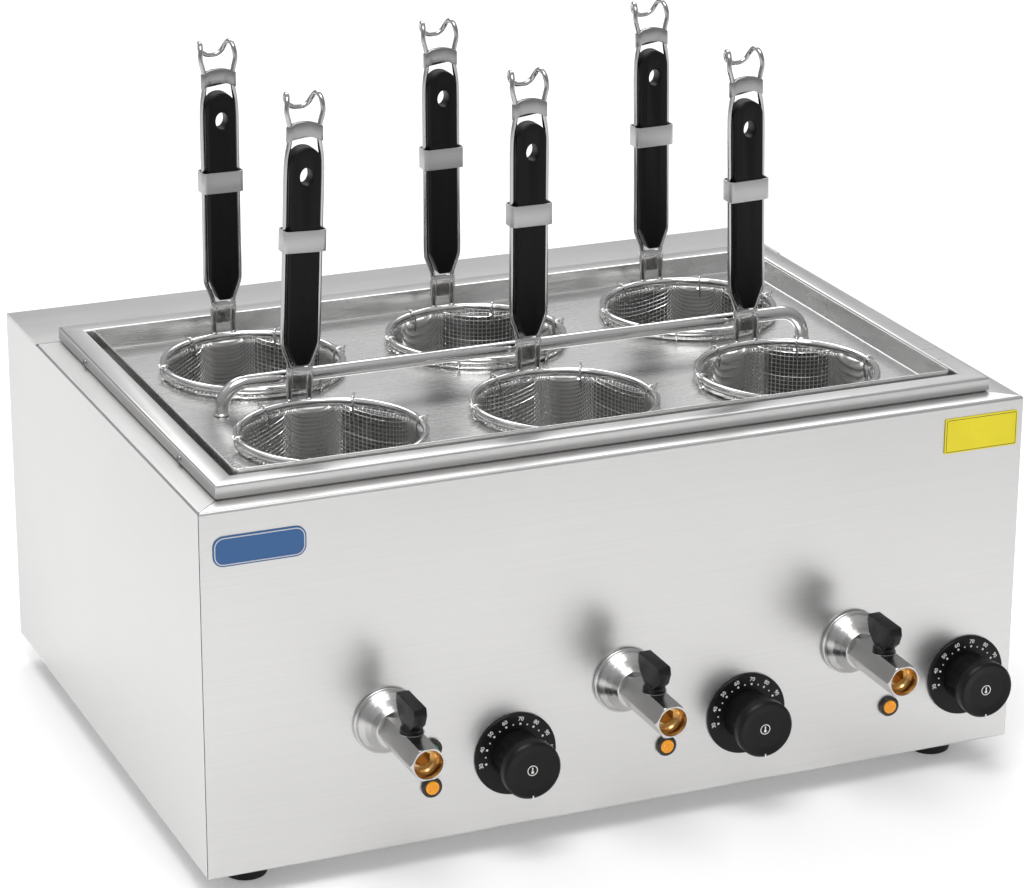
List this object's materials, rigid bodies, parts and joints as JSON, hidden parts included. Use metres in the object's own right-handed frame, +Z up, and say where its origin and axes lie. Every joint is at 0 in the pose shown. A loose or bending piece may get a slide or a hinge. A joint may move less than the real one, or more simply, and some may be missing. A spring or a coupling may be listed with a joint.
{
  "type": "pasta cooker",
  "caption": "Countertop pasta cooker: folded steel case, water basins with drain taps and thermostats, and lift-out wire baskets with upright black grips.",
  "frame": {"origin": "centre of the object's bounding box, on the surface that its feet stand on", "axes": "+Z up, +Y from the controls towards the rear, +X to the right seen from the front"},
  "size_m": [0.58, 0.531, 0.4791],
  "materials": {
    "brushed_steel": "brushed stainless sheet",
    "rim_steel": "satin stainless",
    "tray_steel": "bright rolled stainless",
    "basin_steel": "satin stainless",
    "element_steel": "heat-stained stainless tube",
    "bail_steel": "polished stainless tube",
    "wire_steel": "polished stainless wire",
    "mesh_steel": "woven stainless wire mesh",
    "grip_plastic": "moulded, satin",
    "knob_black": "moulded, satin",
    "dial_black": "printed scale",
    "lever_plastic": "dipped, smooth",
    "control_plastic": "moulded",
    "thermostat_housing": "moulded",
    "tap_chrome": "plated",
    "foot_rubber": "matt",
    "amber_lens": "ribbed translucent lens in a black bezel",
    "green_lens": "ribbed translucent lens in a black bezel",
    "badge_blue": "blank domed badge",
    "plate_yellow": "blank printed plate with a thin dark border"
  },
  "bodies": {
    "casing": {"front_panel": "brushed_steel", "left_side_panel": "brushed_steel", "right_side_panel": "brushed_steel", "rear_panel": "brushed_steel", "bottom_plate": "brushed_steel", "tank_rim": "rim_steel", "foot_1": "foot_rubber", "foot_2": "foot_rubber", "foot_3": "foot_rubber", "foot_4": "foot_rubber", "basin_1": "basin_steel", "basin_2": "basin_steel", "basin_3": "basin_steel", "heating_element_1": "element_steel", "heating_element_2": "element_steel", "heating_element_3": "element_steel", "thermostat_1": "thermostat_housing", "thermostat_2": "thermostat_housing", "thermostat_3": "thermostat_housing", "tap_1_body": "tap_chrome", "tap_2_body": "tap_chrome", "tap_3_body": "tap_chrome", "dial_1": "dial_black", "dial_2": "dial_black", "dial_3": "dial_black", "amber_lamp_1": "amber_lens", "amber_lamp_2": "amber_lens", "amber_lamp_3": "amber_lens", "green_lamp_1": "green_lens", "green_lamp_2": "green_lens", "green_lamp_3": "green_lens", "cable_gland": "control_plastic", "front_badge": "badge_blue", "info_plate": "plate_yellow"},
    "insert": {"insert_tray": "tray_steel", "bail_handle": "bail_steel"},
    "basket_1": {"basket_1_frame": "wire_steel", "basket_1_bowl": "mesh_steel", "basket_1_grip": "grip_plastic"},
    "basket_2": {"basket_2_frame": "wire_steel", "basket_2_bowl": "mesh_steel", "basket_2_grip": "grip_plastic"},
    "basket_3": {"basket_3_frame": "wire_steel", "basket_3_bowl": "mesh_steel", "basket_3_grip": "grip_plastic"},
    "basket_4": {"basket_4_frame": "wire_steel", "basket_4_bowl": "mesh_steel", "basket_4_grip": "grip_plastic"},
    "basket_5": {"basket_5_frame": "wire_steel", "basket_5_bowl": "mesh_steel", "basket_5_grip": "grip_plastic"},
    "basket_6": {"basket_6_frame": "wire_steel", "basket_6_bowl": "mesh_steel", "basket_6_grip": "grip_plastic"},
    "tap_handle_1": {"tap_1_lever": "lever_plastic"},
    "control_knob_1": {"knob_1": "knob_black"},
    "tap_handle_2": {"tap_2_lever": "lever_plastic"},
    "control_knob_2": {"knob_2": "knob_black"},
    "tap_handle_3": {"tap_3_lever": "lever_plastic"},
    "control_knob_3": {"knob_3": "knob_black"}
  },
  "joints": [
    {"name": "insert_lift", "type": "slide", "parent": "casing", "child": "insert", "axis": [0, 0, 1], "range_m": [0, 0.18]},
    {"name": "basket_1_lift", "type": "slide", "parent": "insert", "child": "basket_1", "axis": [0, 0, 1], "range_m": [0, 0.16]},
    {"name": "basket_2_lift", "type": "slide", "parent": "insert", "child": "basket_2", "axis": [0, 0, 1], "range_m": [0, 0.16]},
    {"name": "basket_3_lift", "type": "slide", "parent": "insert", "child": "basket_3", "axis": [0, 0, 1], "range_m": [0, 0.16]},
    {"name": "basket_4_lift", "type": "slide", "parent": "insert", "child": "basket_4", "axis": [0, 0, 1], "range_m": [0, 0.16]},
    {"name": "basket_5_lift", "type": "slide", "parent": "insert", "child": "basket_5", "axis": [0, 0, 1], "range_m": [0, 0.16]},
    {"name": "basket_6_lift", "type": "slide", "parent": "insert", "child": "basket_6", "axis": [0, 0, 1], "range_m": [0, 0.16]},
    {"name": "tap_1_turn", "type": "hinge", "parent": "casing", "child": "tap_handle_1", "pos_m": [-0.1687, -0.2365, 0.1092], "axis": [0, 0, 1], "range_deg": [0, 90]},
    {"name": "tap_2_turn", "type": "hinge", "parent": "casing", "child": "tap_handle_2", "pos_m": [-0.0015, -0.2365, 0.1092], "axis": [0, 0, 1], "range_deg": [0, 90]},
    {"name": "tap_3_turn", "type": "hinge", "parent": "casing", "child": "tap_handle_3", "pos_m": [0.1657, -0.2365, 0.1092], "axis": [0, 0, 1], "range_deg": [0, 90]},
    {"name": "knob_1_turn", "type": "hinge", "parent": "casing", "child": "control_knob_1", "pos_m": [-0.0792, -0.1915, 0.07], "axis": [0, 1, 0], "range_deg": [0, 300]},
    {"name": "knob_2_turn", "type": "hinge", "parent": "casing", "child": "control_knob_2", "pos_m": [0.088, -0.1915, 0.07], "axis": [0, 1, 0], "range_deg": [0, 300]},
    {"name": "knob_3_turn", "type": "hinge", "parent": "casing", "child": "control_knob_3", "pos_m": [0.2552, -0.1915, 0.07], "axis": [0, 1, 0], "range_deg": [0, 300]}
  ]
}
